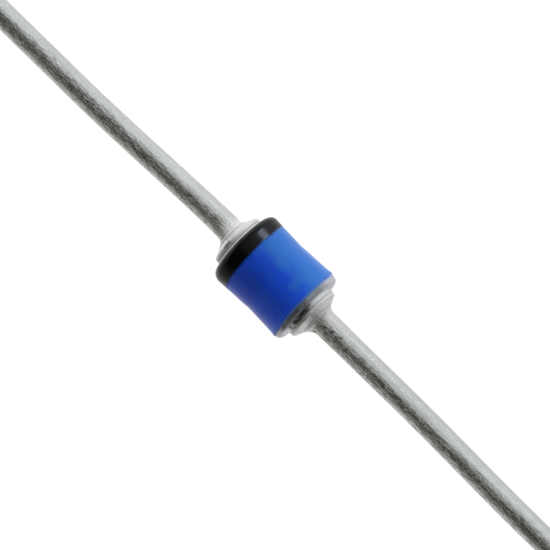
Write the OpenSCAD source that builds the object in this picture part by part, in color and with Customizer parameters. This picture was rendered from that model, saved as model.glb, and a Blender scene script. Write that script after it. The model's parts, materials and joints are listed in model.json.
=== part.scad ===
// Axial-lead rectifier diode in a fused glass sleeve.
// A silicon die is held between two tungsten slugs. A glass sleeve is melted round the slugs and the
// die, a nail-headed wire is brazed to each slug, and the sleeve is painted, with a dark band round
// the cathode end.
// Sizes are in millimetres. The lead axis is X, with the cathode towards +X. The origin is the middle
// of the die.

/* [Leads] */
// Diameter of the lead wire
lead_d = 1.02; // [0.9:0.01:1.1]
// Length of each lead, from the back of its head to its cut tip
lead_len = 27.94; // [22:0.02:33]
// Chamfer round the cut tip
tip_chamfer = 0.06; // [0.02:0.01:0.15]

/* [Lead heads] */
// Diameter of the nail head
head_d = 2.32; // [2.1:0.01:2.4]
// Thickness of the head's rim, up to its rounded edge
rim_t = 0.09; // [0.03:0.01:0.15]
// Radius of the rim's rounded edge
rim_edge_r = 0.06; // [0.02:0.01:0.1]
// Angle between the head's cone and the lead axis
cone_angle = 65; // [50:1:75]
// Diameter of the collar at the foot of the cone
collar_d = 1.5; // [1.3:0.01:1.7]
// Length of the collar along the axis
collar_len = 0.05; // [0.02:0.01:0.08]
// Step down from the collar to the neck
collar_step = 0.02; // [0.01:0.005:0.05]
// Radius of the neck's fillet into the wire
neck_fillet_r = 0.45; // [0.36:0.01:0.7]

/* [Slugs and die] */
// Diameter of the tungsten slugs
slug_d = 2.36; // [2.2:0.01:2.5]
// How far each slug stands out of the glass
slug_proud = 0.14; // [0.05:0.01:0.25]
// Thickness of the braze between a slug and its lead head
braze_t = 0.04; // [0.03:0.01:0.08]
// How far the braze stops short of the head's rim
braze_inset = 0.03; // [0.01:0.01:0.08]
// Side of the square silicon die
die_w = 1.5; // [1.2:0.01:1.55]
// Thickness of the silicon die
die_t = 0.25; // [0.18:0.01:0.35]
// Thickness of the metal bond on each face of the die
bond_t = 0.04; // [0.03:0.01:0.06]

/* [Glass sleeve] */
// Length of the glass sleeve
glass_len = 3.69; // [3.2:0.01:4.2]
// Diameter of the glass at its waist
waist_d = 3.12; // [2.9:0.01:3.4]
// Radius of the long hollow curve along the sleeve
waist_curve_r = 20; // [15:0.5:40]
// Radius of the melted shoulder at the cathode end
cathode_shoulder_r = 0.31; // [0.15:0.01:0.4]
// Radius of the melted shoulder at the anode end
anode_shoulder_r = 0.21; // [0.15:0.01:0.4]

/* [Paint] */
// Thickness of the paint
paint_t = 0.04; // [0.03:0.01:0.06]
// Width of the cathode band, from the sleeve's end
band_w = 0.72; // [0.5:0.01:1.2]
// Length of glass left bare at the anode end
bare_len = 0.19; // [0.1:0.01:0.4]
// Gap between the band's paint and the metal at the cathode end
band_gap = 0.02; // [0.01:0.01:0.05]

/* [Hidden] */

// Segments in each rounded edge, in the neck and along the waist
edge_steps = 6;
curve_steps = 12;
// Sides of a full turn
turn_steps = 96;

// Stations along the axis, from the middle of the die outwards
bond_x = die_t / 2;
slug_x = bond_x + bond_t;
glass_half = glass_len / 2;
braze_x = glass_half + slug_proud;
slug_len = braze_x - slug_x;
head_x = braze_x + braze_t;

// The lead head's profile, with x measured from the back of the head
lead_r = lead_d / 2;
collar_r = collar_d / 2;
neck_r = collar_r - collar_step;
cone_top_r = head_d / 2 - rim_edge_r * (1 - cos(cone_angle));
cone_top_x = rim_t + rim_edge_r * sin(cone_angle);
collar_x = cone_top_x + (cone_top_r - collar_r) / tan(cone_angle);
neck_x = collar_x + collar_len;
neck_sweep = acos(1 - (neck_r - lead_r) / neck_fillet_r);
wire_x = neck_x + neck_fillet_r * sin(neck_sweep);

// The sleeve's outline: the hollow waist curve runs smoothly into each shoulder
waist_centre_r = waist_d / 2 + waist_curve_r;
function shoulder_x(r) = glass_half - r;
function flare(r) = asin(shoulder_x(r) / (waist_curve_r + r));
function shoulder_centre_r(r) = waist_centre_r - (waist_curve_r + r) * cos(flare(r));

// The paint's stations, with x measured from the middle of the sleeve
coat_start_x = bare_len - glass_half;
band_start_x = glass_half - band_w;
band_end_x = glass_half + paint_t;
band_bore_r = max(head_d, slug_d) / 2 + band_gap;
paint_reach_r = waist_centre_r;

// Points [radius, x] on an arc, with angles measured from the outward radius
function arc(centre, r, from, to, steps) =
    [for (i = [0 : steps]) let (a = from + (to - from) * i / steps) centre + r * [cos(a), sin(a)]];

// One melted shoulder, grown by a coat, at the anode end (-1) or the cathode end (1)
function shoulder(r, coat, end) =
    let (tangent = -end * flare(r), square = end * 90)
    arc([shoulder_centre_r(r), end * shoulder_x(r)], r + coat,
        end < 0 ? square : tangent, end < 0 ? tangent : square, curve_steps);

// The sleeve's outline, grown outwards by a coat of the given thickness
function sleeve_outline(coat) = concat(
    [[0, -glass_half - coat]],
    shoulder(anode_shoulder_r, coat, -1),
    arc([waist_centre_r, 0], waist_curve_r - coat,
        180 + flare(anode_shoulder_r), 180 - flare(cathode_shoulder_r), curve_steps),
    shoulder(cathode_shoulder_r, coat, 1),
    [[0, glass_half + coat]]
);

// A profile of radius against x, turned about the lead axis
module turned() {
    rotate([0, 90, 0]) rotate_extrude($fn = turn_steps) children();
}

// A round disc on the lead axis
module disc(d, from_x, length) {
    translate([from_x, 0, 0]) rotate([0, 90, 0]) cylinder(d = d, h = length, $fn = turn_steps);
}

// A square plate across the lead axis
module plate(from_x, length) {
    translate([from_x, -die_w / 2, -die_w / 2]) cube([length, die_w, die_w]);
}

module lead() {
    translate([head_x, 0, 0]) turned() polygon(concat(
        [[0, 0], [head_d / 2, 0]],
        arc([head_d / 2 - rim_edge_r, rim_t], rim_edge_r, 0, cone_angle, edge_steps),
        [[collar_r, collar_x], [collar_r, neck_x]],
        arc([lead_r + neck_fillet_r, wire_x], neck_fillet_r, 180 + neck_sweep, 180, curve_steps),
        [[lead_r, lead_len - tip_chamfer], [lead_r - tip_chamfer, lead_len], [0, lead_len]]
    ));
}

module braze() {
    disc(head_d - 2 * braze_inset, braze_x, braze_t);
}

module slug() {
    disc(slug_d, slug_x, slug_len);
}

module die_bond() {
    plate(bond_x, bond_t);
}

module to_anode() {
    mirror([1, 0, 0]) children();
}

// A section through the whole skin of paint
module paint_section() {
    difference() {
        polygon(sleeve_outline(paint_t));
        polygon(sleeve_outline(0));
    }
}

// A stretch of the paint skin between two stations, outside a given bore
module painted(from_x, to_x, bore_r) {
    turned() intersection() {
        paint_section();
        translate([bore_r, from_x]) square([paint_reach_r, to_x - from_x]);
    }
}

module cathode_lead() {
    color("silver") lead();
}

module anode_lead() {
    color("silver") to_anode() lead();
}

module cathode_lead_braze() {
    color("lightgray") braze();
}

module anode_lead_braze() {
    color("lightgray") to_anode() braze();
}

module cathode_slug() {
    color("dimgray") slug();
}

module anode_slug() {
    color("dimgray") to_anode() slug();
}

module cathode_die_bond() {
    color("gainsboro") die_bond();
}

module anode_die_bond() {
    color("gainsboro") to_anode() die_bond();
}

module silicon_die() {
    color("slategray") plate(-bond_x, die_t);
}

module glass_sleeve() {
    color("lavender") difference() {
        turned() polygon(sleeve_outline(0));
        slug();
        to_anode() slug();
        plate(-slug_x, 2 * slug_x);
    }
}

module body_coat() {
    color("royalblue") painted(coat_start_x, band_start_x, band_bore_r);
}

module cathode_band() {
    color("black") painted(band_start_x, band_end_x, band_bore_r);
}

cathode_lead();
anode_lead();
cathode_lead_braze();
anode_lead_braze();
cathode_slug();
anode_slug();
cathode_die_bond();
anode_die_bond();
silicon_die();
glass_sleeve();
body_coat();
cathode_band();
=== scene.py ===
"""The looks of an axial-lead rectifier diode, built round its CAD frame.

A glass sleeve with a hollow waist holds two tungsten slugs. It is painted blue, with a black band round
the cathode end, and a nail-headed tinned wire leaves each end. Sizes are in metres. The lead axis is X,
with the cathode towards +X, and Z is up. Angles round the axis are measured from +Z towards +Y.
"""

import json
import math

import bmesh
import bpy
import numpy as np
from bpy.props import FloatProperty, FloatVectorProperty, IntProperty, PointerProperty
from mathutils import Matrix, Vector, noise


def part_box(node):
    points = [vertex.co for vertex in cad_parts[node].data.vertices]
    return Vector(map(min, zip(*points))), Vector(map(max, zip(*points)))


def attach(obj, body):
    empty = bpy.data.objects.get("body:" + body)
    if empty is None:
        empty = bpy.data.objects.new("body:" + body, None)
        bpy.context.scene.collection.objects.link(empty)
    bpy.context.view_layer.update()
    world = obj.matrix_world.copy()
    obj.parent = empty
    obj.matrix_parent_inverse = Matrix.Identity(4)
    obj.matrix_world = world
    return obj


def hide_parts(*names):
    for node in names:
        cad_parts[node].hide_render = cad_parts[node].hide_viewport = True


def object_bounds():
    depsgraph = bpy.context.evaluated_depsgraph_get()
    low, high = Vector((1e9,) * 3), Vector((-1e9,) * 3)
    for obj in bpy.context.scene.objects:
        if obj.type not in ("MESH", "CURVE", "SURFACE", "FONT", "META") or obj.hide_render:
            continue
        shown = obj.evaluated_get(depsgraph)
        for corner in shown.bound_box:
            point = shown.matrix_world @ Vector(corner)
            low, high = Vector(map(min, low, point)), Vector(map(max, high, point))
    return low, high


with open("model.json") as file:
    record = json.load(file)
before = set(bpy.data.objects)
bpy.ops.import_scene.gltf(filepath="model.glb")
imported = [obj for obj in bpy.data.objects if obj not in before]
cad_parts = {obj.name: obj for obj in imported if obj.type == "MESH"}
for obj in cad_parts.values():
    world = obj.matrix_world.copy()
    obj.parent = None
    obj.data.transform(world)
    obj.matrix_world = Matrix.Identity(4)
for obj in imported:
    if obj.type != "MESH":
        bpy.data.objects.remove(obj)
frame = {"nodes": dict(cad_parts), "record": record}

bl_info = {
    "name": "Axial Rectifier Diode",
    "version": (1, 0, 0),
    "blender": (4, 5, 0),
    "location": "3D View > Sidebar > Diode",
    "description": "Builds a glass rectifier diode with its paint, slugs and leads, on a white stage",
    "category": "Add Mesh",
}

CAD_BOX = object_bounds()
BODY = "root"
MM = 0.001
QUARTER = math.pi / 2
ENDS = {"cathode": 1, "anode": -1}
WIRE_RADIUS = frame["record"]["mounts"][0]["dims"]["r_mm"] * MM


def turned_size(node):
    """The lowest x, the highest x and the largest radius of a CAD node that is turned about the axis."""
    low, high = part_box(node)
    return low.x, high.x, max(-low.y, -low.z, high.y, high.z)


GLASS_LOW, GLASS_HIGH, GLASS_RADIUS = turned_size("glass_sleeve")
COAT_LOW, COAT_HIGH, COAT_RADIUS = turned_size("body_coat")
BAND_LOW, BAND_HIGH, _ = turned_size("cathode_band")
SLUG_LOW, SLUG_HIGH, SLUG_RADIUS = turned_size("cathode_slug")
BRAZE_LOW, BRAZE_HIGH, BRAZE_RADIUS = turned_size("cathode_lead_braze")
HEAD_BACK, WIRE_TIP, HEAD_RADIUS = turned_size("cathode_lead")
DIE_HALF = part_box("silicon_die")[1].y
GLASS_HALF = (GLASS_HIGH - GLASS_LOW) / 2
GLASS_MIDDLE = (GLASS_HIGH + GLASS_LOW) / 2
PAINT_THICKNESS = COAT_RADIUS - GLASS_RADIUS
# How far a piece reaches into its neighbour, so that no gap shows
OVERLAP = 0.004 * MM


def length(name, description, default):
    """A property that holds a length in metres."""
    return FloatProperty(
        name=name, description=description, default=default, unit="LENGTH", precision=6)


def angle(name, description, degrees):
    """A property that holds an angle."""
    return FloatProperty(
        name=name, description=description, default=math.radians(degrees), subtype="ANGLE")


def power(name, description, default):
    """A property that holds a lamp's power in watts."""
    return FloatProperty(name=name, description=description, default=default, unit="POWER")


def colour(name, description, default):
    """A property that holds a colour, as linear red, green and blue."""
    return FloatVectorProperty(
        name=name, description=description, default=default, subtype="COLOR", min=0, max=1)


class DiodeLeadSettings(bpy.types.PropertyGroup):
    """Sizes and colours of the leads, slugs and braze"""

    cathode_rim: length("Cathode rim", "Straight part of the rim of the cathode's head", 0.09 * MM)
    anode_rim: length("Anode rim", "Straight part of the rim of the anode's head", 0.06 * MM)
    rim_edge: length("Rim edge", "Radius of the rim's rounded edge", 0.09 * MM)
    cone_angle: angle("Cone angle", "Angle between the head's cone and the axis", 65)
    collar_radius: length("Collar radius", "Radius of the collar at the foot of the cone", 0.75 * MM)
    collar_length: length("Collar length", "Length of the collar along the axis", 0.03 * MM)
    collar_step: length("Collar step", "Step down from the collar to the neck", 0.02 * MM)
    cathode_fillet: length("Cathode fillet", "Radius of the neck's fillet at the cathode", 0.26 * MM)
    anode_fillet: length("Anode fillet", "Radius of the neck's fillet at the anode", 0.40 * MM)
    neck_swell: length("Neck swell", "Extra tin on the wire beside its neck", 0.026 * MM)
    swell_reach: length("Swell reach", "Length over which the extra tin dies away", 1.2 * MM)
    tip_chamfer: length("Tip chamfer", "Chamfer round the cut tip", 0.06 * MM)
    cathode_shift: length("Cathode shift", "How far the cathode wire is off centre", 0.094 * MM)
    anode_shift: length("Anode shift", "How far the anode wire is off centre", 0.072 * MM)
    tin_skin: length("Tin skin", "Thickness of the uneven tin on the wire", 0.010 * MM)
    cathode_bend: length("Cathode bend", "Sideways handling bend of the cathode wire", 0.19 * MM)
    anode_bend: length("Anode bend", "Sideways handling bend of the anode wire", 0.10 * MM)
    ring_spacing: length("Ring spacing", "Distance between the mesh rings along a wire", 0.10 * MM)
    solder_lump: length("Solder lump", "Height of the solder run beside the cathode's neck", 0.07 * MM)
    slug_edge: length("Slug edge", "Radius of the slug's outer edge", 0.012 * MM)
    braze_hollow: length("Braze hollow", "How far the joint's edge is hollowed", 0.01 * MM)
    braze_reach: length("Braze reach", "How far the cathode's braze runs back over its slug", 0.10 * MM)
    braze_rise: length("Braze rise", "How far that braze stands above the slug", 0.095 * MM)
    braze_sag: length("Braze sag", "How far that braze sags halfway down its slope", 0.015 * MM)
    sides: IntProperty(name="Sides", description="Sides of a full turn", default=96, min=24)
    tin_colour: colour("Tin", "Clean tin on the wires", (0.76, 0.77, 0.77))
    tarnish_colour: colour("Tarnish", "Dull tin in the hollows of the grain", (0.70, 0.70, 0.67))
    frost_colour: colour("Frost", "Frosted tin on the heads", (0.74, 0.74, 0.72))
    # Darker brown-grey patches, put only on the +Y side of the wires, away from the key.
    stain_colour: colour("Stains", "Brown-grey stains along the wires", (0.30, 0.285, 0.26))
    # Pits, and the painted dark reflection on the cathode's rim.
    pit_and_reflection_colour: colour("Pits", "Pits at the anode, burn at the cathode", (0.10, 0.095, 0.085))
    tungsten_colour: colour("Tungsten", "Ground tungsten of the slugs", (0.84, 0.84, 0.85))
    # A painted reflection: the dark spot on the anode's slug.
    slug_reflection_colour: colour("Oxide", "Dark oxide spot on the anode's slug", (0.16, 0.15, 0.15))
    braze_colour: colour("Braze", "Braze between slug and head", (0.80, 0.79, 0.76))


class DiodeSleeveSettings(bpy.types.PropertyGroup):
    """Sizes and colours of the glass sleeve and its paint"""

    waist_radius: length("Waist radius", "Radius of the glass at its waist", 1.56 * MM)
    waist_curve: length("Waist curve", "Radius of the long hollow curve", 20 * MM)
    cathode_shoulder: length("Cathode shoulder", "Radius of the shoulder at the cathode", 0.31 * MM)
    anode_shoulder: length("Anode shoulder", "Radius of the shoulder at the anode", 0.21 * MM)
    fullness: length("Fullness", "How far the sleeve swells on either side of its waist", 0.018 * MM)
    groove: length("Groove", "Half the width of the narrow groove at the waist", 0.28 * MM)
    waist_lean: length("Waist lean", "How far the waist is shifted on either side", 0.15 * MM)
    edge_trim: length("Edge trim", "How far the paint has shrunk back from its full length", 0.04 * MM)
    feather: length("Feather", "Length over which the coat thins out at its edge", 0.09 * MM)
    lip_height: length("Lip height", "Height of the lip behind the coat's thin edge", 0.010 * MM)
    lip_place: length("Lip place", "How far the lip stands behind the coat's edge", 0.14 * MM)
    lip_width: length("Lip width", "Width over which the lip dies away", 0.06 * MM)
    band_gap: length("Band gap", "Gap between the band's paint and the metal in it", 0.02 * MM)
    band_fade: length("Band fade", "Width over which the black thins out over the blue", 0.16 * MM)
    sides: IntProperty(name="Sides", description="Sides of a full turn", default=160, min=24)
    # The two blues are lit and shaded copies of one paint: painted light on the key's -Y side, painted
    # shade on the +Y side.
    lit_paint_colour: colour("Blue", "Blue body paint where it drained away", (0.025, 0.175, 0.59))
    shaded_paint_colour: colour("Deep blue", "Blue body paint where it gathered", (0.002, 0.070, 0.68))
    thin_colour: colour("Thin blue", "Thin paint along the coat's edge", (0.07, 0.21, 0.66))
    # Painted light: the near-white back of the paint stands in for light coming through the thin paint
    # into the glass.
    underside_light_colour: colour("Underside", "Back of the paint, seen through the glass", (0.86, 0.88, 0.95))
    black_colour: colour("Black", "Black band paint", (0.001, 0.001, 0.0015))
    stain_colour: colour("Stain", "Glass under the last trace of blue paint", (0.42, 0.54, 0.90))
    glass_colour: colour("Glass", "Tint of the clear glass", (0.90, 0.92, 0.98))
    # Partly painted light: the pale milk on the sleeve's sides stands in for light shining through them.
    milk_and_light_colour: colour("Milk", "Milky glass at the melted end", (0.84, 0.84, 0.93))


class DiodeStageSettings(bpy.types.PropertyGroup):
    """The camera, floor and light"""

    camera_distance: length("Camera distance", "From the lens to the middle of the body", 120 * MM)
    camera_tilt: angle("Camera tilt", "How far the camera leans towards the anode", 7.0)
    camera_roll: angle("Camera roll", "Turn of the lead axis in the picture", 44.3)
    picture_width: length("Picture width", "Width of the view at the body", 21.69 * MM)
    aim_right: length("Aim right", "How far right of the body's middle the camera aims", -0.018 * MM)
    aim_up: length("Aim up", "How far above the body's middle the camera aims", 0.095 * MM)
    floor_radius: length("Floor radius", "Radius of the round floor", 2.0)
    floor_colour: colour("Floor", "Pale floor", (0.80, 0.80, 0.80))
    lamp_distance: length("Lamp distance", "From each light to the body", 0.12)
    lamp_size: length("Lamp size", "Side of the square key and fill lights", 0.07)
    lamp_colour: colour("Lamp colour", "Colour of the key and fill lights", (1.0, 1.0, 1.0))
    key_angle: angle("Key angle", "Angle of the key light from straight up", -62)
    key_lead: FloatProperty(
        name="Key lead", description="How far the key light leans towards the cathode", default=0.1)
    key_power: power("Key power", "Power of the key light", 0.110)
    fill_rise: angle("Fill rise", "Height of the fill light beyond the cathode, above the axis", 4)
    fill_power: power("Fill power", "Power of the fill light", 0.125)
    gloss_angle: angle("Gloss angle", "Angle of the band's own light from straight up", -65)
    gloss_size: length("Gloss size", "Side of the band's own light", 0.045)
    gloss_power: power("Gloss power", "Power of the band's own light", 0.045)
    gloss_colour: colour("Gloss colour", "Colour of the band's own light", (0.70, 0.82, 1.0))
    ambient_colour: colour("Ambient", "Light of the room on matt surfaces", (0.21, 0.21, 0.22))


class Value:
    """A shader socket that takes part in Python arithmetic: each operator adds a Math node."""

    def __init__(self, finish, socket):
        self.finish = finish
        self.socket = socket

    def out(self, name):
        """Another output of the same node."""
        return Value(self.finish, self.socket.node.outputs[name])

    def __add__(self, other):
        return self.finish.math("ADD", self, other)

    def __sub__(self, other):
        return self.finish.math("SUBTRACT", self, other)

    def __rsub__(self, other):
        return self.finish.math("SUBTRACT", other, self)

    def __mul__(self, other):
        return self.finish.math("MULTIPLY", self, other)

    def __truediv__(self, other):
        return self.finish.math("DIVIDE", self, other)

    def __rtruediv__(self, other):
        return self.finish.math("DIVIDE", other, self)

    __radd__ = __add__
    __rmul__ = __mul__


class Finish:
    """Adds nodes to a material's or a world's node tree."""

    def __init__(self, tree):
        self.tree = tree
        tree.nodes.clear()

    def node(self, kind, settings=None, sockets=None, output=0):
        """Adds a node, sets its settings, then its sockets' values or links, and gives one output."""
        made = self.tree.nodes.new(kind)
        for name, value in (settings or {}).items():
            if name == "stops":
                set_stops(made.color_ramp, value)
            else:
                setattr(made, name, value)
        for key, value in (sockets or {}).items():
            if isinstance(value, Value):
                self.tree.links.new(value.socket, made.inputs[key])
            else:
                made.inputs[key].default_value = value
        return Value(self, made.outputs[output]) if made.outputs else None

    def math(self, operation, *values):
        return self.node("ShaderNodeMath", {"operation": operation}, dict(enumerate(values)))

    def step(self, value, low, high):
        """A smooth step from 0 at low to 1 at high."""
        sockets = dict(enumerate((value, low, high, 0.0, 1.0)))
        return self.node("ShaderNodeMapRange", {"interpolation_type": "SMOOTHSTEP"}, sockets)

    def between(self, value, rise, fall):
        """1 between a rising and a falling smooth step, each given by its ends."""
        return self.step(value, *rise) * (1.0 - self.step(value, *fall))

    def mix(self, factor, first, second):
        """A mix of two colours."""
        sockets = {0: factor, 6: rgba(first), 7: rgba(second)}
        return self.node("ShaderNodeMix", {"data_type": "RGBA"}, sockets, output=2)

    def millimetres(self, x=1.0, y=1.0, z=1.0):
        """The place on the piece in millimetres, stretched along each axis."""
        place = self.node("ShaderNodeTexCoord", output="Object")
        scale = (x / MM, y / MM, z / MM)
        return self.node("ShaderNodeVectorMath", {"operation": "MULTIPLY"}, {0: place, 1: scale})

    def places(self):
        """The place along the axis and sideways in millimetres, and the angle round it in degrees."""
        parts = self.node("ShaderNodeSeparateXYZ", None, {"Vector": self.millimetres()})
        around = self.math("ARCTAN2", parts.out("Y"), parts.out("Z")) * math.degrees(1.0)
        return parts.out("X"), parts.out("Y"), around

    def noise(self, scale, detail=2.0, roughness=0.5, **stretch):
        """Noise over the piece, stretched along each axis. Its scale is for one millimetre."""
        place = self.millimetres(**stretch)
        sockets = {"Vector": place, "Scale": scale, "Detail": detail, "Roughness": roughness}
        return self.node("ShaderNodeTexNoise", None, sockets)

    def bump(self, height, distance):
        """A normal that follows a height, of which 1 stands for the given distance in metres."""
        sockets = {"Strength": 1.0, "Distance": distance, "Height": height}
        return self.node("ShaderNodeBump", None, sockets)

    def principled(self, sockets):
        return self.node("ShaderNodeBsdfPrincipled", None, sockets)

    def blend(self, factor, first, second):
        """A mix of two shaders."""
        return self.node("ShaderNodeMixShader", None, {0: factor, 1: first, 2: second})

    def surface(self, shader):
        """Joins a shader to the material's output."""
        self.node("ShaderNodeOutputMaterial", None, {"Surface": shader})


def rgba(value):
    """A colour socket's value: a link as it is, or three numbers with full alpha."""
    return value if isinstance(value, Value) else (*value, 1.0)


def grey(level):
    return (level, level, level)


def set_stops(ramp, stops):
    """Sets a colour ramp's stops from (position, colour) pairs."""
    while len(ramp.elements) < len(stops):
        ramp.elements.new(1.0)
    for element, (position, shade) in zip(ramp.elements, stops):
        element.position = position
        element.color = rgba(shade)


def new_finish(name):
    """A new material with an empty node tree, and its Finish."""
    material = bpy.data.materials.new(name)
    material.use_nodes = True
    return material, Finish(material.node_tree)


# Where marks on the tin fade in or out: millimetres along the axis from the body's middle
ANODE_SIDE = (-4.0, 4.0)
HEAD_END = (2.45, 2.8)
RIM_END = (2.08, 2.16)
FROST_END = (2.85, 3.2)
SOLDER_END = (2.74, 2.84)
NEAR_BODY = (3.0, 8.0)
PITTED_NECK = ((2.4, 2.6), (2.9, 4.5))
# The dark spot on the cathode's rim is a painted reflection of the room's dark side.
DARK_RIM_REACH = ((2.05, 2.09), (2.18, 2.23))
# The same sideways in millimetres, and round the axis in degrees
PLUS_Y_SIDE = (-0.28, 0.02)
DARK_RIM_TURN = ((8.0, 14.0), (24.0, 34.0))
# The levels of noise between which a mark grows from nothing to its full strength
DULL_LEVELS = (0.48, 0.62)
PIT_LEVELS = (0.56, 0.64)
FLAKE_LEVELS = (0.46, 0.56)
STAIN_LEVELS = (0.50, 0.58)
TIN_DEPTH = 0.034 * MM
# Scratches across the cathode wire: x in millimetres, and the degrees between which each one runs
SCRATCHES = ((10.10, -38, -4), (10.27, -34, -2), (9.66, -24, -8))
SCRATCH_HALF_WIDTH = 0.035
SCRATCH_FADE = 3.0


def tinned_wire_finish(settings):
    """Satin tin with drawing lines, dull blotches and scratches.

    Its +Y side, away from the key, is ragged and flaked, and darker brown patches and the anode neck's
    pits lie only there; the heads are frosted.
    """
    material, tin = new_finish("tinned_wire")
    along, sideways, around = tin.places()
    reach = tin.math("ABSOLUTE", along)
    grain = tin.noise(9.0, 4.0, 0.6, x=0.3)
    lines = tin.noise(9.0, 3.0, 0.6, x=0.03)
    blotches = tin.noise(1.7, 3.0, 0.6, x=0.4)
    specks = tin.noise(5.0, 2.0, x=0.8)
    scales = tin.noise(5.0, 4.0, 0.65, x=0.5)
    spots = tin.noise(6.5, 4.0, 0.7, x=0.55)

    anode_side = 1.0 - tin.step(along, *ANODE_SIDE)
    plus_y_side = tin.step(sideways, *PLUS_Y_SIDE)
    head = 1.0 - tin.step(reach, *HEAD_END)
    rim = 1.0 - tin.step(reach, *RIM_END)
    near_body = 1.0 - tin.step(reach, *NEAR_BODY)
    frosted = 1.0 - tin.step(reach + blotches * 0.4 + anode_side * 0.45, *FROST_END)
    solder = 1.0 - tin.step(along + blotches * 0.3, *SOLDER_END)
    dull = tin.step(grain * 0.6 + blotches * 0.2 + lines * 0.3, *DULL_LEVELS)
    flakes = tin.step(scales, *FLAKE_LEVELS) * plus_y_side
    # Darker patches and pits lie only on the +Y side, away from the key.
    dark_patches = tin.step(spots, *STAIN_LEVELS) * (1.0 - head) * plus_y_side
    pits = anode_side * plus_y_side * tin.between(reach, *PITTED_NECK) * tin.step(specks, *PIT_LEVELS)
    # Painted reflection: a dark spot on the cathode's rim where it mirrors the room's dark side.
    rim_dark_reflection = tin.between(reach, *DARK_RIM_REACH) * tin.between(around, *DARK_RIM_TURN) * (1.0 - anode_side)
    scratches = 0.0
    for x, first, last in SCRATCHES:
        across = 1.0 - tin.step(tin.math("ABSOLUTE", along - x), 0.0, SCRATCH_HALF_WIDTH)
        run = tin.between(around, (first, first + SCRATCH_FADE), (last - SCRATCH_FADE, last))
        scratches = scratches + across * run

    ragged = 0.25 + plus_y_side * 0.75 + anode_side * head * (1.0 - plus_y_side) * 0.55
    skin = (grain + lines * 0.6 + blotches * 0.3) * ragged + flakes * 0.24
    skin = skin * (1.0 - head * (0.7 - anode_side * 0.5))
    height = skin - scratches * 0.3 - pits * 0.25 + solder * 0.3
    shade = tin.mix(dull, settings.tin_colour, settings.tarnish_colour)
    shade = tin.mix(frosted, shade, settings.frost_colour)
    shade = tin.mix(dark_patches * (0.5 + near_body * 0.25), shade, settings.stain_colour)
    shade = tin.mix(rim_dark_reflection * 0.8, shade, settings.pit_and_reflection_colour)
    head_roughness = rim * 0.18 + head * (0.15 - anode_side * 0.09)
    tin.surface(tin.principled({
        "Base Color": tin.mix(pits, shade, settings.pit_and_reflection_colour),
        "Metallic": 0.93 - near_body * 0.10 - frosted * (0.48 - anode_side * 0.26),
        "Roughness": 0.17 + dull * (1.0 - head) * 0.15 + head_roughness,
        "Normal": tin.bump(height, TIN_DEPTH),
    }))
    return material


# The dark patch on the anode's slug is a painted reflection of the room's dark side: the degrees round
# the axis over which it fades in and out
DARK_REFLECTION_TURN = ((-15.0, -2.0), (50.0, 78.0))
DARK_REFLECTION_LEVELS = (0.38, 0.55)
BLOOM_LEVELS = (0.35, 0.7)
# Millimetres along the axis: the change from one slug to the other, and the end of the glass
SLUG_CHANGE = (-0.5, 0.5)
BARE_SLUG = (GLASS_LOW / MM, GLASS_LOW / MM + 0.06)
TUNGSTEN_DEPTH = 0.010 * MM


def tungsten_finish(settings):
    """Ground tungsten with fine rings and a faint bloom, smoother where it stands out of the glass.

    A dark reflection of the room is painted on the anode's slug.
    """
    material, tungsten = new_finish("tungsten")
    along, _, around = tungsten.places()
    rings = tungsten.noise(1.0, 3.0, x=30.0, y=0.6, z=0.6)
    bloom = tungsten.noise(2.4, 3.0)
    grain = tungsten.noise(9.0, 3.0, 0.6, x=2.0)
    patches = tungsten.noise(5.0, 2.0, x=2.0)
    bare = 1.0 - tungsten.step(along, *BARE_SLUG)
    # Painted reflection: the anode's slug is darkened where it mirrors the room's dark side.
    painted_reflection = tungsten.between(around, *DARK_REFLECTION_TURN) * (1.0 - tungsten.step(along, *SLUG_CHANGE))
    painted_reflection = painted_reflection * tungsten.step(patches, *DARK_REFLECTION_LEVELS)
    shade = tungsten.mix(tungsten.step(bloom, *BLOOM_LEVELS), settings.tungsten_colour, grey(0.88))
    tungsten.surface(tungsten.principled({
        "Base Color": tungsten.mix(painted_reflection * (0.5 + bare * 0.5), shade, settings.slug_reflection_colour),
        "Metallic": 1.0,
        "Roughness": 0.46 + bloom * 0.14 - bare * 0.20,
        "Normal": tungsten.bump(rings * 0.2 + grain, TUNGSTEN_DEPTH),
    }))
    return material


def braze_finish(settings):
    """Silver braze that froze with a rippled skin."""
    material, braze = new_finish("braze")
    ripples = braze.noise(7.0, 3.0)
    braze.surface(braze.principled({
        "Base Color": braze.mix(ripples, settings.braze_colour, grey(0.45)),
        "Metallic": 0.5,
        "Roughness": 0.25 + ripples * 0.25,
        "Normal": braze.bump(ripples, 0.006 * MM),
    }))
    return material


# Degrees round the axis: where the glass turns to pale milk far from the key, and where it clears near
# it; the pale milk is partly painted light shining through the sides
PALE_FAR_SIDE = (47.0, 64.0)
PALE_NEAR_SIDE = (-60.0, -22.0)
# The last trace of paint on the glass fades over these millimetres along the axis
PAINT_TRACE = (COAT_LOW / MM - 0.06, COAT_LOW / MM + 0.05)


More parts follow.
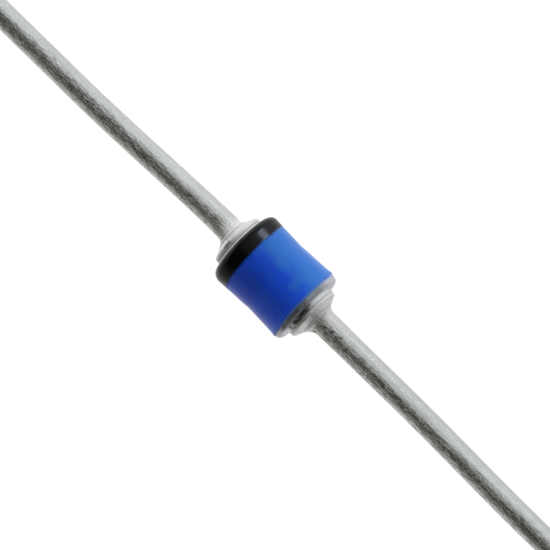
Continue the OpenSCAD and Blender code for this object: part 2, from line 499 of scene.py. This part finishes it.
def sleeve_glass_finish(settings):
    """Fused glass with a faint cloud of bubbles, stained beside the paint, and pale milk glass on both
    sides, partly as painted light.
    """
    material, glass = new_finish("sleeve_glass")
    along, _, around = glass.places()
    cloud = glass.noise(3.0, 3.0)
    # Partly painted light: pale milk glass on both sides round the axis, clear across the top.
    milk_and_painted_light = glass.step(around, *PALE_FAR_SIDE) * 0.75 + (1.0 - glass.step(around, *PALE_NEAR_SIDE)) * 0.5
    stain = glass.step(along + (cloud - 0.5) * 0.08, *PAINT_TRACE)
    tint = glass.mix(cloud, settings.glass_colour, grey(0.97))
    bubbles = glass.bump(cloud, 0.004 * MM)
    clear = glass.principled({
        "Base Color": glass.mix(stain, tint, settings.stain_colour),
        "Roughness": 0.02 + cloud * 0.04,
        "IOR": 1.50,
        "Transmission Weight": 1.0,
        "Normal": bubbles,
    })
    milk = glass.principled({
        "Base Color": glass.mix(stain * cloud, settings.milk_and_light_colour, settings.stain_colour),
        "Roughness": 0.20 + cloud * 0.10,
        "Normal": bubbles,
    })
    glass.surface(glass.blend(milk_and_painted_light, clear, milk))
    return material


# The blue paint lets a little light through and has a soft sheen. The black has neither.
BLUE_GLOSS = {
    "IOR": 1.40,
    "Sheen Weight": 0.5,
    "Sheen Roughness": 0.35,
    "Subsurface Weight": 0.75,
    "Subsurface Scale": 0.065 * MM,
    "Subsurface Radius": (1.0, 1.0, 1.0),
}
BLACK_GLOSS = {"IOR": 1.34}
# Millimetres sideways over which the blue turns into its painted-shade copy, and along over which its
# edge thins out
SHADED_BLUE_SIDE = (-0.90, 0.10)
THIN_EDGE = (0.02, 0.13)
STREAK_LEVELS = (0.42, 0.70)
# How far the band's edge is off square, for each millimetre sideways
BAND_SLANT = 0.018


def paint_finish(settings, name, gloss):
    """Body paint: blue in painted lit and shaded copies, thin along its edge at the anode, and black past
    the band's soft edge.
    """
    material, paint = new_finish(name)
    along, sideways, _ = paint.places()
    mottle = paint.noise(1.3, 3.0)
    peel = paint.noise(5.0, 2.0)
    ragged = paint.noise(1.6, 3.0) - 0.5
    streaks = paint.noise(3.2, 4.0, 0.6, x=0.35)

    band_edge = BAND_LOW / MM
    half_fade = settings.band_fade / MM / 2
    from_edge = along + sideways * BAND_SLANT + ragged * 0.10
    black = paint.step(from_edge, band_edge - half_fade, band_edge + half_fade)
    coat_end = COAT_LOW + settings.edge_trim
    end_lean = settings.waist_lean * (1.0 - (coat_end / GLASS_HALF) ** 2) / COAT_RADIUS
    past_end = along - coat_end / MM + sideways * end_lean
    thin = 1.0 - paint.step(past_end + ragged * 0.06, *THIN_EDGE)
    # Painted shade: the blue turns into its shaded copy on the +Y side, away from the key.
    shaded_side = paint.step(sideways + (mottle - 0.5) * 1.6, *SHADED_BLUE_SIDE)
    facing = paint.node("ShaderNodeTexCoord", output="Normal")
    dot_product = {"operation": "DOT_PRODUCT"}
    from_axis = {0: facing, 1: paint.millimetres(x=0.0)}
    outward = paint.node("ShaderNodeVectorMath", dot_product, from_axis, output="Value")

    shade_and_streaks = shaded_side * 0.85 + paint.step(streaks, *STREAK_LEVELS) * 0.15
    blue = paint.mix(shade_and_streaks, settings.lit_paint_colour, settings.shaded_paint_colour)
    blue = paint.mix(thin, blue, settings.thin_colour)
    # Painted light: where the paint faces the glass, its back is near white.
    blue = paint.mix(paint.step(outward, -0.1, 0.1), settings.underside_light_colour, blue)
    black_shade = paint.mix(mottle, settings.black_colour, grey(0.002))
    paint.surface(paint.principled({
        "Base Color": paint.mix(black, blue, black_shade),
        "Roughness": 0.38 + mottle * 0.12 - black * 0.24,
        "Normal": paint.bump(peel, 0.003 * MM),
        **gloss,
    }))
    return material


def silicon_finish():
    """Polished silicon with faint saw marks."""
    material, silicon = new_finish("silicon")
    marks = silicon.noise(1.0, 2.0, x=4.0, y=20.0)
    silicon.surface(silicon.principled({
        "Base Color": silicon.mix(marks, (0.10, 0.11, 0.13), (0.16, 0.17, 0.20)),
        "Metallic": 0.6,
        "Roughness": 0.2 + marks * 0.2,
    }))
    return material


def die_bond_finish():
    """Soft bright bond metal with a frozen grain."""
    material, bond = new_finish("die_bond")
    grain = bond.noise(9.0, 3.0)
    bond.surface(bond.principled({
        "Base Color": bond.mix(grain, grey(0.62), grey(0.42)),
        "Metallic": 1.0,
        "Roughness": 0.3 + grain * 0.25,
    }))
    return material


def arc(centre, radius, start, end, steps):
    """Points (x, radius) on an arc, with angles measured from the outward radius towards +x."""
    turns = np.linspace(start, end, steps + 1)
    return [(centre[0] + radius * math.sin(t), centre[1] + radius * math.cos(t)) for t in turns]


def smooth(value, low, high):
    """A smooth step from 0 at low to 1 at high."""
    t = np.clip((value - low) / (high - low), 0.0, 1.0)
    return t * t * (3.0 - 2.0 * t)


def turned_piece(name, profile, sides, closed, shape=None):
    """A piece turned about the lead axis from a profile of (x, radius) points.

    A closed profile is a ring's section. An open one starts and ends on the axis. shape takes arrays of
    x, radius and angle, and gives x, radius and the sideways shift along Y.
    """
    points = np.array(profile)
    rows = len(points)
    turn = np.linspace(0.0, 2.0 * math.pi, sides, endpoint=False)
    x, turn = np.meshgrid(points[:, 0], turn, indexing="ij")
    radius = np.repeat(points[:, 1:2], sides, axis=1)
    shift = np.zeros_like(x)
    if shape:
        x, radius, shift = shape(x, radius, turn)
    corners = np.stack([x, radius * np.sin(turn) + shift, radius * np.cos(turn)], axis=-1)
    mesh = bmesh.new()
    grid = []
    for row in range(rows):
        on_axis = not closed and row in (0, rows - 1)
        ring = [mesh.verts.new(corner) for corner in (corners[row, :1] if on_axis else corners[row])]
        grid.append(ring * sides if on_axis else ring)
    pairs = list(zip(grid, grid[1:])) + ([(grid[-1], grid[0])] if closed else [])
    for lower, upper in pairs:
        for side in range(sides):
            beside = (side + 1) % sides
            loop = (lower[side], lower[beside], upper[beside], upper[side])
            mesh.faces.new(list(dict.fromkeys(loop)))
    bmesh.ops.recalc_face_normals(mesh, faces=mesh.faces)
    data = bpy.data.meshes.new(name)
    mesh.to_mesh(data)
    mesh.free()
    data.shade_smooth()
    data.set_sharp_from_angle(angle=math.radians(40))
    piece = bpy.data.objects.new(name, data)
    bpy.context.scene.collection.objects.link(piece)
    return piece


def to_side(side, profile):
    """A profile as it is for the cathode, or mirrored along the axis for the anode."""
    return [(side * x, r) for x, r in profile]


def dress(piece, material, node):
    """Gives a piece its material, hangs it on the body and hides the CAD node that it replaces."""
    piece.data.materials.append(material)
    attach(piece, BODY)
    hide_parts(node)


EDGE_STEPS = 8
CONE_STEPS = 8
BEAD_STEPS = 4
FILLET_STEPS = 18


def lead_profile(settings, rim, fillet):
    """A lead's profile from the back of its head to its cut tip, with x positive."""
    rim_end = HEAD_BACK + rim
    edge = settings.rim_edge
    cone = settings.cone_angle
    cone_top_radius = HEAD_RADIUS - edge * (1.0 - math.cos(cone))
    cone_top = rim_end + edge * math.sin(cone)
    collar_radius = settings.collar_radius
    collar = cone_top + (cone_top_radius - collar_radius) / math.tan(cone)
    neck = collar + settings.collar_length
    neck_radius = collar_radius - settings.collar_step
    sweep = math.acos(1.0 - (neck_radius - WIRE_RADIUS) / fillet)
    wire = neck + fillet * math.sin(sweep)
    chamfer = WIRE_TIP - settings.tip_chamfer
    rings = int((chamfer - wire) / settings.ring_spacing)
    bead = settings.collar_step
    cone_line = [
        (cone_top + t * (collar - cone_top), cone_top_radius + t * (collar_radius - cone_top_radius))
        for t in np.linspace(0.0, 1.0, CONE_STEPS + 1)[1:]
    ]
    return (
        [(HEAD_BACK, 0.0), (HEAD_BACK, HEAD_RADIUS)]
        + arc((rim_end, HEAD_RADIUS - edge), edge, 0.0, cone, EDGE_STEPS)
        + cone_line
        + arc((collar + bead, neck_radius), bead, -QUARTER, 0.0, BEAD_STEPS)
        + arc((neck - bead, neck_radius), bead, 0.0, QUARTER, BEAD_STEPS)[:-1]
        + arc((wire, WIRE_RADIUS + fillet), fillet, math.pi + sweep, math.pi, FILLET_STEPS)
        + [(x, WIRE_RADIUS) for x in np.linspace(wire, chamfer, rings)[1:]]
        + [(WIRE_TIP, WIRE_RADIUS - settings.tip_chamfer), (WIRE_TIP, 0.0)]
    )


# Stretches along a wire, from the middle of the body: its bend, and where the bend dies away
BENDS = {"cathode": (2.2 * MM, 11.0 * MM), "anode": (7.0 * MM, 14.0 * MM)}
BEND_FADE = (16 * MM, 28 * MM)
# The wire comes off its head's centre, takes on its tin skin and becomes true again at its tip
OFF_CENTRE = (HEAD_BACK + 0.25 * MM, HEAD_BACK + 0.8 * MM)
SKIN_START = HEAD_BACK + 0.4 * MM
TRUE_TIP = (WIRE_TIP - 0.5 * MM, WIRE_TIP - 0.1 * MM)
# The solder run beside the cathode's neck: where it rises and falls, its angle and its spread in radians
SOLDER_RISE = (2.45 * MM, 2.6 * MM)
SOLDER_FALL = (2.7 * MM, 3.2 * MM)
SOLDER_TURN = 0.7
SOLDER_SPREAD = 0.5
# The unevenness of a wire: its share of the radius, its waves per millimetre and round the wire
UNEVEN_SHARE = 0.006
UNEVEN_ALONG = 0.9
UNEVEN_AROUND = 1.3


def unevenness(x, turn):
    """Smooth noise from -1 to 1 over the surface of a wire."""
    across = UNEVEN_AROUND * math.sin(turn), UNEVEN_AROUND * math.cos(turn)
    return noise.noise(Vector((x / MM * UNEVEN_ALONG, *across)))


def lead_shape(settings, end):
    """How a wire departs from a true turned form: its bends, its eccentric neck and its uneven skin."""
    bend = getattr(settings, f"{end}_bend")
    neck_shift = getattr(settings, f"{end}_shift")

    def shape(x, radius, turn):
        reach = np.abs(x)
        off_centre = smooth(reach, *OFF_CENTRE) * neck_shift
        bow = smooth(reach, *BENDS[end]) * bend - off_centre
        shift = bow * (1.0 - smooth(reach, *BEND_FADE))
        uneven = np.vectorize(unevenness)(x, turn)
        beyond = reach - SKIN_START
        neck_swell = settings.neck_swell * np.exp(-np.abs(beyond) / settings.swell_reach)
        swell = np.where(beyond > 0, settings.tin_skin + neck_swell, 0.0)
        if end == "cathode":
            run = smooth(x, *SOLDER_RISE) * (1.0 - smooth(x, *SOLDER_FALL))
            run = run * np.exp(-((turn - SOLDER_TURN) / SOLDER_SPREAD) ** 2)
            swell = swell + settings.solder_lump * run
        before_tip = 1.0 - smooth(reach, *TRUE_TIP)
        uneven_radius = radius * (1.0 + UNEVEN_SHARE * uneven * before_tip) + swell
        return x, np.where(radius == 0.0, 0.0, uneven_radius), shift

    return shape


def slug_profile(settings):
    """A slug's profile from its inner to its outer face, with x positive."""
    edge = settings.slug_edge
    return (
        [(SLUG_LOW, 0.0), (SLUG_LOW, SLUG_RADIUS)]
        + arc((SLUG_HIGH - edge, SLUG_RADIUS - edge), edge, 0.0, QUARTER, BEAD_STEPS)
        + [(SLUG_HIGH, 0.0)]
    )


def anode_braze_profile(settings):
    """A thin joint with a hollowed edge, with x positive."""
    middle = (BRAZE_LOW + BRAZE_HIGH) / 2
    return [
        (BRAZE_LOW, 0.0), (BRAZE_LOW, BRAZE_RADIUS), (middle, BRAZE_RADIUS - settings.braze_hollow),
        (BRAZE_HIGH, BRAZE_RADIUS), (BRAZE_HIGH, 0.0),
    ]


def cathode_braze_profile(settings):
    """A joint whose braze has run back over the slug and slopes up to the head."""
    under = SLUG_RADIUS - OVERLAP
    back = BRAZE_LOW - settings.braze_reach
    top = SLUG_RADIUS + settings.braze_rise
    slope = [
        (
            back + t * (BRAZE_HIGH - back),
            top + t * (BRAZE_RADIUS - top) - 4.0 * settings.braze_sag * t * (1.0 - t),
        )
        for t in np.linspace(0.0, 1.0, CONE_STEPS + 1)
    ]
    return [(BRAZE_LOW, 0.0), (BRAZE_LOW, under), (back, under)] + slope + [(BRAZE_HIGH, 0.0)]


SHOULDER_STEPS = 24
WAIST_STEPS = 56


def sleeve_outline(settings, coat):
    """The sleeve's outline from the anode face to the cathode face, grown outwards by a coat."""
    curve = settings.waist_curve
    centre = settings.waist_radius + curve

    def shoulder(r):
        x = GLASS_HALF - r
        flare = math.asin(x / (curve + r))
        return x, flare, centre - (curve + r) * math.cos(flare)

    anode_r, cathode_r = settings.anode_shoulder, settings.cathode_shoulder
    anode_x, anode_flare, anode_centre = shoulder(anode_r)
    cathode_x, cathode_flare, cathode_centre = shoulder(cathode_r)
    waist_start, waist_end = math.pi + anode_flare, math.pi - cathode_flare
    outline = (
        arc((-anode_x, anode_centre), anode_r + coat, -QUARTER, anode_flare, SHOULDER_STEPS)
        + arc((0.0, centre), curve - coat, waist_start, waist_end, WAIST_STEPS)[1:-1]
        + arc((cathode_x, cathode_centre), cathode_r + coat, -cathode_flare, QUARTER, SHOULDER_STEPS)
    )
    full, groove = settings.fullness, settings.groove
    return [(x + GLASS_MIDDLE, r + full * (1.0 - math.exp(-(x / groove) ** 2))) for x, r in outline]


def stretch(outline, low, high):
    """The part of an outline between two stations along the axis."""
    xs, rs = zip(*outline)
    inner = [(x, r) for x, r in outline if low < x < high]
    return [(low, np.interp(low, xs, rs))] + inner + [(high, np.interp(high, xs, rs))]


def sleeve_shape(settings):
    """The melted glass leans a little: its waist is further along on one side than on the other."""

    def shape(x, radius, turn):
        span = 1.0 - np.clip(np.abs(x - GLASS_MIDDLE) / GLASS_HALF, 0.0, 1.0) ** 2
        return x - settings.waist_lean * np.sin(turn) * span, radius, np.zeros_like(x)

    return shape


# Waves of the coat's edge: how many round the sleeve, their start in radians and their height
EDGE_WAVES = ((3, 0.8, 0.008 * MM), (7, 0.0, 0.006 * MM))
# Lengths from the coat's edge: where its waves die away, and where the mesh rings are fine
WAVY_LENGTH = 0.5 * MM
FINE_LENGTH = 0.3 * MM
FINE_RINGS = 30
PLAIN_RINGS = 60
# The share of the paint's thickness that is gone at its very edge
FEATHER_SHARE = 0.9


def coat_shape(settings):
    """The coat leans with the glass, and its edge at the anode is slightly wavy."""
    lean = sleeve_shape(settings)
    coat_end = COAT_LOW + settings.edge_trim

    def shape(x, radius, turn):
        near_end = 1.0 - smooth(x, coat_end, coat_end + WAVY_LENGTH)
        wave = sum(height * np.sin(count * turn + start) for count, start, height in EDGE_WAVES)
        return lean(x + near_end * wave, radius, turn)

    return shape


def coat_section(settings):
    """The section of the blue coat, which thins out at the anode, with a low lip behind its edge."""
    coat_end = COAT_LOW + settings.edge_trim
    fine_end = coat_end + FINE_LENGTH
    fine = np.linspace(coat_end, fine_end, FINE_RINGS, endpoint=False)
    stations = np.append(fine, np.linspace(fine_end, COAT_HIGH, PLAIN_RINGS))
    thinning = PAINT_THICKNESS * (1.0 - smooth(stations, coat_end, coat_end + settings.feather))
    from_lip = (stations - coat_end - settings.lip_place) / settings.lip_width
    lip = settings.lip_height * np.exp(-from_lip ** 2)
    over = np.interp(stations, *zip(*sleeve_outline(settings, PAINT_THICKNESS)))
    over = over - FEATHER_SHARE * thinning + lip
    under = np.interp(stations, *zip(*sleeve_outline(settings, -OVERLAP)))
    return list(zip(stations, over)) + list(zip(stations, under))[::-1]


def band_section(settings):
    """The section of the black band, which wraps round the shoulder to the metal."""
    outer = sleeve_outline(settings, PAINT_THICKNESS)
    inner = sleeve_outline(settings, -OVERLAP)
    bore = max(SLUG_RADIUS, HEAD_RADIUS) + settings.band_gap
    under_end = GLASS_HIGH - OVERLAP
    over = stretch(outer, BAND_LOW, BAND_HIGH)[:-1] + [(BAND_HIGH, bore)]
    under = [(under_end, bore)] + stretch(inner, BAND_LOW, under_end)[:-1][::-1]
    return over + under


class DIODE_OT_leads(bpy.types.Operator):
    """Make the two nail-headed tinned leads"""

    bl_idname = "diode.leads"
    bl_label = "Leads"

    def execute(self, context):
        settings = context.scene.diode_leads
        material = tinned_wire_finish(settings)
        for end, side in ENDS.items():
            rim = getattr(settings, f"{end}_rim")
            fillet = getattr(settings, f"{end}_fillet")
            profile = to_side(side, lead_profile(settings, rim, fillet))
            shape = lead_shape(settings, end)
            piece = turned_piece(f"{end}_wire", profile, settings.sides, False, shape)
            dress(piece, material, f"{end}_lead")
        return {"FINISHED"}


class DIODE_OT_slugs(bpy.types.Operator):
    """Make the two tungsten slugs and the braze on their outer faces"""

    bl_idname = "diode.slugs"
    bl_label = "Slugs and braze"

    def execute(self, context):
        settings = context.scene.diode_leads
        tungsten = tungsten_finish(settings)
        braze = braze_finish(settings)
        joints = {"cathode": cathode_braze_profile(settings), "anode": anode_braze_profile(settings)}
        for end, side in ENDS.items():
            profile = to_side(side, slug_profile(settings))
            slug = turned_piece(f"{end}_slug_pin", profile, settings.sides, False)
            dress(slug, tungsten, f"{end}_slug")
            profile = to_side(side, joints[end])
            joint = turned_piece(f"{end}_braze_seam", profile, settings.sides, False)
            dress(joint, braze, f"{end}_lead_braze")
        return {"FINISHED"}


class DIODE_OT_sleeve(bpy.types.Operator):
    """Make the fused glass sleeve"""

    bl_idname = "diode.sleeve"
    bl_label = "Glass sleeve"

    def execute(self, context):
        settings = context.scene.diode_sleeve
        bore = SLUG_RADIUS - OVERLAP
        inner = math.hypot(DIE_HALF, DIE_HALF)
        gap = SLUG_LOW + OVERLAP
        section = (
            [(GLASS_LOW, bore)] + sleeve_outline(settings, 0.0) + [(GLASS_HIGH, bore)]
            + [(gap, bore), (gap, inner), (-gap, inner), (-gap, bore)]
        )
        piece = turned_piece("glass_envelope", section, settings.sides, True, sleeve_shape(settings))
        dress(piece, sleeve_glass_finish(settings), "glass_sleeve")
        return {"FINISHED"}


class DIODE_OT_paint(bpy.types.Operator):
    """Make the blue coat and the black cathode band"""

    bl_idname = "diode.paint"
    bl_label = "Paint"

    def execute(self, context):
        settings = context.scene.diode_sleeve
        sides = settings.sides
        coat = turned_piece("blue_coat", coat_section(settings), sides, True, coat_shape(settings))
        dress(coat, paint_finish(settings, "blue_paint", BLUE_GLOSS), "body_coat")
        band = turned_piece("black_band", band_section(settings), sides, True, sleeve_shape(settings))
        dress(band, paint_finish(settings, "black_paint", BLACK_GLOSS), "cathode_band")
        return {"FINISHED"}


class DIODE_OT_junction(bpy.types.Operator):
    """Finish the die and its bonds, which keep their CAD shapes"""

    bl_idname = "diode.junction"
    bl_label = "Die and bonds"

    def execute(self, context):
        silicon, bond = silicon_finish(), die_bond_finish()
        finishes = {"silicon_die": silicon, "cathode_die_bond": bond, "anode_die_bond": bond}
        for name, material in finishes.items():
            materials = frame["nodes"][name].data.materials
            materials.clear()
            materials.append(material)
        return {"FINISHED"}


class DIODE_OT_stage(bpy.types.Operator):
    """Make the white floor, the light and the camera"""

    bl_idname = "diode.stage"
    bl_label = "Stage"

    def execute(self, context):
        settings = context.scene.diode_stage
        make_floor(settings)
        make_room(settings)
        make_lamps(settings)
        make_camera(settings)
        context.scene.view_settings.view_transform = "Standard"
        return {"FINISHED"}


def shown_rays(finish):
    """Three factors: 1 for camera rays, 1 for rays from a mirror, and 1 for rays through glass."""
    camera = finish.node("ShaderNodeLightPath", output="Is Camera Ray")
    through = camera.out("Is Transmission Ray")
    return camera, camera.out("Is Glossy Ray") * (1.0 - through), through


# The share of the floor that glows: to the camera beside the body, in a mirror near the key, what a
# mirror gains past the body and loses further out, and to other rays
FLOOR_BESIDE = 0.95
FLOOR_MIRRORED = 0.37
# In mirrors the gain is painted light and the loss is a painted shadow, both on the +Y side.
FLOOR_GAIN = 0.30
FLOOR_LOSS = 0.32
FLOOR_BOUNCE = 0.45
FLOOR_GLOW = 1.05
# Where these change: sideways past the body, sideways further out, and outwards
FLOOR_PAST = (-0.5 * MM, 0.5 * MM)
FLOOR_OUT = (0.5 * MM, 9 * MM)
FLOOR_FAR = (0.02, 0.08)


def make_floor(settings):
    """A round pale floor under the body. It shows white with a faint shadow, and darker in mirrors, with
    painted light past the body and a painted shadow further out on the +Y side.
    """
    data = bpy.data.meshes.new("floor")
    mesh = bmesh.new()
    bmesh.ops.create_circle(mesh, cap_ends=True, segments=96, radius=settings.floor_radius)
    mesh.to_mesh(data)
    mesh.free()
    floor = bpy.data.objects.new("floor", data)
    floor.location.z = CAD_BOX[0].z
    bpy.context.scene.collection.objects.link(floor)
    material, pale = new_finish("floor_pale")
    camera, mirrored, through = shown_rays(pale)
    other = 1.0 - camera - mirrored - through
    place = pale.node("ShaderNodeTexCoord", output="Object")
    reach = pale.node("ShaderNodeVectorMath", {"operation": "LENGTH"}, {0: place}, output="Value")
    sideways = pale.node("ShaderNodeSeparateXYZ", None, {"Vector": place}).out("Y")
    # Painted light: in mirrors the floor is lighter just past the body on the +Y side.
    past = pale.step(sideways, *FLOOR_PAST)
    # Painted shadow: in mirrors the floor turns darker and warmer further out on the +Y side.
    mirror_shadow_side = pale.step(sideways, *FLOOR_OUT)
    far = pale.step(reach, *FLOOR_FAR)
    white = camera * (FLOOR_BESIDE + far * (1.0 - FLOOR_BESIDE)) + through + other * FLOOR_BOUNCE
    white = white + mirrored * (FLOOR_MIRRORED + past * FLOOR_GAIN - mirror_shadow_side * FLOOR_LOSS)
    pale_matt = pale.node("ShaderNodeBsdfDiffuse", None, {"Color": rgba(settings.floor_colour)})
    shadow_matt = pale.node("ShaderNodeBsdfDiffuse", None, {"Color": rgba(grey(0.04))})
    shade = pale.mix(mirrored * mirror_shadow_side, grey(1.0), (1.0, 0.99, 0.90))
    glow = pale.node("ShaderNodeEmission", None, {"Color": shade, "Strength": FLOOR_GLOW})
    pale.surface(pale.blend(white, pale.blend(mirrored * mirror_shadow_side, pale_matt, shadow_matt), glow))
    data.materials.append(material)


# What a mirror sees of the room, by the angle in degrees from straight up towards +Y
ROOM_LEVELS = (
    (-180, (0.58, 0.60, 0.61)),
    (-95, (0.61, 0.64, 0.65)),
    (-66, (0.80, 0.85, 0.86)),
    (-46, (0.65, 0.67, 0.68)),
    (-20, (0.42, 0.43, 0.42)),
    (-13, (0.30, 0.30, 0.29)),
    (6, (0.23, 0.23, 0.215)),
    (12, (0.045, 0.043, 0.037)),
    (56, (0.025, 0.023, 0.018)),
    (75, (0.14, 0.14, 0.125)),
    (100, (0.44, 0.44, 0.41)),
    (180, (0.74, 0.74, 0.70)),
)
# Directions by their share along an axis: both ends of the room, and the pale sweep at one end
ROOM_ENDS = (0.45, 0.85)
SWEEP_END = (0.6, 0.9)
SWEEP_TOP = (0.12, 0.30)
ROOM_END_LEVEL = 0.04
SWEEP_LEVEL = 0.74


def make_room(settings):
    """A room that is bright on the key's side, and dark across the ceiling from it and at the ends.

    The camera sees white, and matt surfaces get an even light.
    """
    world = bpy.data.worlds.new("studio_room")
    world.use_nodes = True
    bpy.context.scene.world = world
    room = Finish(world.node_tree)
    camera, mirrored, through = shown_rays(room)
    heading = room.node("ShaderNodeTexCoord", output="Generated")
    parts = room.node("ShaderNodeSeparateXYZ", None, {"Vector": heading})
    lean = room.math("ARCTAN2", parts.out("Y"), parts.out("Z"))
    stops = [((degrees + 180) / 360, shade) for degrees, shade in ROOM_LEVELS]
    walls = room.node("ShaderNodeValToRGB", {"stops": stops}, {"Fac": lean / (2 * math.pi) + 0.5})
    ends = room.step(room.math("ABSOLUTE", parts.out("X")), *ROOM_ENDS)
    walls = room.mix(ends * 0.7, walls, grey(ROOM_END_LEVEL))
    sweep = room.step(parts.out("X"), *SWEEP_END) * (1.0 - room.step(parts.out("Z"), *SWEEP_TOP))
    walls = room.mix(sweep, walls, grey(SWEEP_LEVEL))
    light = room.mix(mirrored + through, settings.ambient_colour, walls)
    shade = room.mix(camera, light, grey(1.0))
    background = room.node("ShaderNodeBackground", None, {"Color": shade, "Strength": 1.0})
    room.node("ShaderNodeOutputWorld", None, {"Surface": background})


def make_lamp(settings, name, towards, watts, size, shade):
    """A square softbox in the given direction."""
    lamp = bpy.data.lights.new(name, "AREA")
    lamp.shape = "SQUARE"
    lamp.size = size
    lamp.energy = watts
    lamp.color = shade
    softbox = bpy.data.objects.new(name, lamp)
    towards = Vector(towards).normalized()
    softbox.location = towards * settings.lamp_distance
    softbox.rotation_mode = "QUATERNION"
    softbox.rotation_quaternion = towards.to_track_quat("Z", "Y")
    bpy.context.scene.collection.objects.link(softbox)
    return softbox


def make_lamps(settings):
    """The key light on the -Y side, a fill light beyond the cathode, and a light for the band alone.

    The first two don't show in mirrors or through glass.
    """
    key, rise, gloss = settings.key_angle, settings.fill_rise, settings.gloss_angle
    matt_lamps = (
        ("key_softbox", (settings.key_lead, math.sin(key), math.cos(key)), settings.key_power),
        ("fill_softbox", (math.cos(rise), 0.0, math.sin(rise)), settings.fill_power),
    )
    for name, towards, watts in matt_lamps:
        lamp = make_lamp(settings, name, towards, watts, settings.lamp_size, settings.lamp_colour)
        lamp.visible_glossy = False
        lamp.visible_transmission = False
    towards = (0.0, math.sin(gloss), math.cos(gloss))
    watts, size, shade = settings.gloss_power, settings.gloss_size, settings.gloss_colour
    lamp = make_lamp(settings, "gloss_softbox", towards, watts, size, shade)
    glossy = bpy.data.collections.new("glossy_paint")
    glossy.objects.link(bpy.data.objects["black_band"])
    lamp.light_linking.receiver_collection = glossy


def make_camera(settings):
    """The camera looks down on the body, with the lead axis across the picture's diagonal."""
    tilt = settings.camera_tilt
    roll = settings.camera_roll
    back = Vector((-math.sin(tilt), 0.0, math.cos(tilt)))
    along = Vector((math.cos(tilt), 0.0, math.sin(tilt)))
    across = Vector((0.0, 1.0, 0.0))
    right = -math.cos(roll) * along - math.sin(roll) * across
    up = math.sin(roll) * along - math.cos(roll) * across
    aim = settings.aim_right * right + settings.aim_up * up
    view = bpy.data.cameras.new("camera")
    view.sensor_width = 36.0
    view.lens = view.sensor_width * settings.camera_distance / settings.picture_width
    view.clip_start = 0.001
    view.clip_end = 100.0
    camera = bpy.data.objects.new("camera", view)
    turn = Matrix((right, up, back)).transposed().to_4x4()
    camera.matrix_world = Matrix.Translation(aim + back * settings.camera_distance) @ turn
    bpy.context.scene.collection.objects.link(camera)
    bpy.context.scene.camera = camera


PANEL_ROWS = (
    ("diode_leads", ("diode.leads", "diode.slugs", "diode.junction")),
    ("diode_sleeve", ("diode.sleeve", "diode.paint")),
    ("diode_stage", ("diode.stage",)),
)


class DIODE_PT_panel(bpy.types.Panel):
    """Lists the diode's pieces and their settings"""

    bl_idname = "DIODE_PT_panel"
    bl_label = "Rectifier diode"
    bl_space_type = "VIEW_3D"
    bl_region_type = "UI"
    bl_category = "Diode"

    def draw(self, context):
        for group, operators in PANEL_ROWS:
            box = self.layout.box()
            for operator in operators:
                box.operator(operator)
            settings = getattr(context.scene, group)
            for name in settings.bl_rna.properties.keys():
                if name not in ("rna_type", "name"):
                    box.prop(settings, name)


SETTINGS = {
    "diode_leads": DiodeLeadSettings,
    "diode_sleeve": DiodeSleeveSettings,
    "diode_stage": DiodeStageSettings,
}
CLASSES = (
    *SETTINGS.values(),
    DIODE_OT_leads,
    DIODE_OT_slugs,
    DIODE_OT_sleeve,
    DIODE_OT_paint,
    DIODE_OT_junction,
    DIODE_OT_stage,
    DIODE_PT_panel,
)


def register():
    for item in CLASSES:
        bpy.utils.register_class(item)
    for name, group in SETTINGS.items():
        setattr(bpy.types.Scene, name, PointerProperty(type=group))


def unregister():
    for name in SETTINGS:
        delattr(bpy.types.Scene, name)
    for item in reversed(CLASSES):
        bpy.utils.unregister_class(item)


def main():
    register()
    bpy.ops.diode.leads()
    bpy.ops.diode.slugs()
    bpy.ops.diode.sleeve()
    bpy.ops.diode.paint()
    bpy.ops.diode.junction()
    bpy.ops.diode.stage()


if __name__ == "__main__":
    main()
